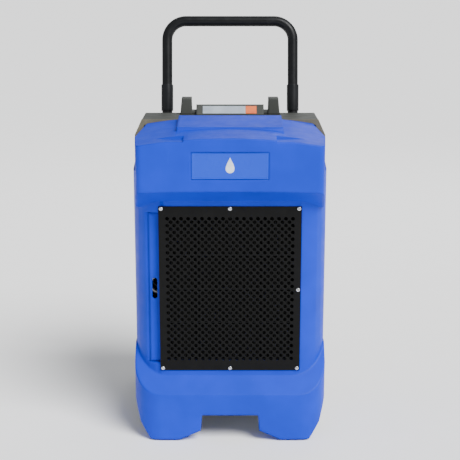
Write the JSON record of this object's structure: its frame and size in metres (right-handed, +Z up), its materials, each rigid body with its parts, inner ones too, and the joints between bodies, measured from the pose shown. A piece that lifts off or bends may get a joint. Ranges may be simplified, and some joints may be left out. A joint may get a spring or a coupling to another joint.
{
  "type": "dehumidifier",
  "caption": "Upright portable commercial dehumidifier: two-shell moulded housing, front intake screen with sliding filter, inner cold circuit and fan, rear wheels and a folding tube handle.",
  "frame": {"origin": "middle of the overall box, on the floor under the feet and wheels", "axes": "+Z up, -Y the front with the intake screen, +X to the right of someone facing the front"},
  "size_m": [0.432, 0.46, 0.904],
  "materials": {
    "blue_plastic": "satin moulded blue plastic",
    "grey_plastic": "matte moulded grey plastic",
    "gasket": "soft tan foam",
    "pan_steel": "powder coated steel",
    "black_rubber": "matte rubber",
    "badge": "plain pressed badge",
    "black_steel": "black powder coat",
    "screw_steel": "zinc plated",
    "black_plastic": "moulded black plastic",
    "filter_fabric": "pleated polyester mat",
    "coil_aluminium": "mill finish",
    "motor_paint": "grey enamel",
    "fan_plastic": "moulded plastic",
    "copper": "drawn copper",
    "clear_plastic": "smoked polycarbonate",
    "float_plastic": "orange plastic",
    "brass": "turned brass",
    "box_steel": "galvanised steel",
    "board": "green board",
    "rocker_red": "red plastic",
    "button_green": "green silicone",
    "button_grey": "grey silicone",
    "label_silver": "satin label foil",
    "tyre_rubber": "moulded rubber",
    "hub_plastic": "moulded nylon"
  },
  "bodies": {
    "root": {"front_shell": "blue_plastic", "rear_shell": "grey_plastic", "seam_gasket": "gasket", "base_pan": "pan_steel", "foot_pads": "black_rubber", "badge_plate": "badge", "intake_grille": "black_steel", "grille_screws": "screw_steel", "filter_rails": "black_plastic", "coil_frame": "pan_steel", "evaporator_coil": "coil_aluminium", "condenser_coil": "coil_aluminium", "drip_tray": "pan_steel", "fan_shroud": "black_plastic", "motor_bracket": "screw_steel", "fan_motor": "motor_paint", "compressor": "black_steel", "compressor_mounts": "black_rubber", "accumulator": "black_steel", "refrigerant_pipes": "copper", "filter_drier": "copper", "condensate_reservoir": "clear_plastic", "condensate_pump": "black_plastic", "drain_hose": "black_rubber", "drain_outlet": "brass", "electrical_box": "box_steel", "electrical_lid": "box_steel", "capacitor": "coil_aluminium", "control_board": "board", "exhaust_grille": "black_steel", "exhaust_screws": "screw_steel", "cable_gland": "black_plastic", "power_switch": "black_plastic", "control_housing": "grey_plastic", "control_panel": "black_plastic", "display_lens": "clear_plastic", "front_label": "label_silver", "label_tile": "float_plastic", "handle_brackets": "black_steel", "bracket_screws": "screw_steel", "pivot_bolts": "screw_steel", "axle": "screw_steel", "axle_caps": "screw_steel"},
    "handle": {"handle_loop": "black_steel", "handle_sleeves": "black_plastic"},
    "knob_left": {"knob_left": "black_plastic"},
    "knob_right": {"knob_right": "black_plastic"},
    "wheel_left": {"tyre_left": "tyre_rubber", "hub_left": "hub_plastic"},
    "wheel_right": {"tyre_right": "tyre_rubber", "hub_right": "hub_plastic"},
    "filter": {"filter_frame": "black_plastic", "filter_media": "filter_fabric"},
    "fan": {"fan_blade": "fan_plastic"},
    "float": {"float": "float_plastic"},
    "rocker": {"switch_rocker": "rocker_red"},
    "button_1": {"button_1": "button_green"},
    "button_2": {"button_2": "button_grey"},
    "button_3": {"button_3": "button_grey"},
    "button_4": {"button_4": "button_grey"}
  },
  "joints": [
    {"name": "handle_fold", "type": "hinge", "parent": "root", "child": "handle", "pos_m": [0, 0.155, 0.64], "axis": [-1, 0, 0], "range_deg": [0, 163]},
    {"name": "knob_left_turn", "type": "hinge", "parent": "root", "child": "knob_left", "pos_m": [-0.17, 0.155, 0.64], "axis": [1, 0, 0], "continuous": true},
    {"name": "knob_right_turn", "type": "hinge", "parent": "root", "child": "knob_right", "pos_m": [0.17, 0.155, 0.64], "axis": [1, 0, 0], "continuous": true},
    {"name": "wheel_left_spin", "type": "hinge", "parent": "root", "child": "wheel_left", "pos_m": [-0.192, 0.18, 0.05], "axis": [1, 0, 0], "continuous": true},
    {"name": "wheel_right_spin", "type": "hinge", "parent": "root", "child": "wheel_right", "pos_m": [0.192, 0.18, 0.05], "axis": [1, 0, 0], "continuous": true},
    {"name": "filter_slide", "type": "slide", "parent": "root", "child": "filter", "axis": [-1, 0, 0], "range_m": [0, 0.33]},
    {"name": "fan_spin", "type": "hinge", "parent": "root", "child": "fan", "pos_m": [0, -0.05, 0.3423], "axis": [0, 1, 0], "continuous": true},
    {"name": "float_rise", "type": "slide", "parent": "root", "child": "float", "axis": [0, 0, 1], "range_m": [0, 0.025]},
    {"name": "rocker_tilt", "type": "hinge", "parent": "root", "child": "rocker", "pos_m": [0.06, 0.139, 0.593], "axis": [1, 0, 0], "range_deg": [-8, 8]},
    {"name": "button_1_press", "type": "slide", "parent": "root", "child": "button_1", "axis": [0, -0.6536, -0.7568], "range_m": [0, 0.0015], "stiffness_N_per_m": 400},
    {"name": "button_2_press", "type": "slide", "parent": "root", "child": "button_2", "axis": [0, -0.6536, -0.7568], "range_m": [0, 0.0015], "stiffness_N_per_m": 400},
    {"name": "button_3_press", "type": "slide", "parent": "root", "child": "button_3", "axis": [0, -0.6536, -0.7568], "range_m": [0, 0.0015], "stiffness_N_per_m": 400},
    {"name": "button_4_press", "type": "slide", "parent": "root", "child": "button_4", "axis": [0, -0.6536, -0.7568], "range_m": [0, 0.0015], "stiffness_N_per_m": 400}
  ]
}
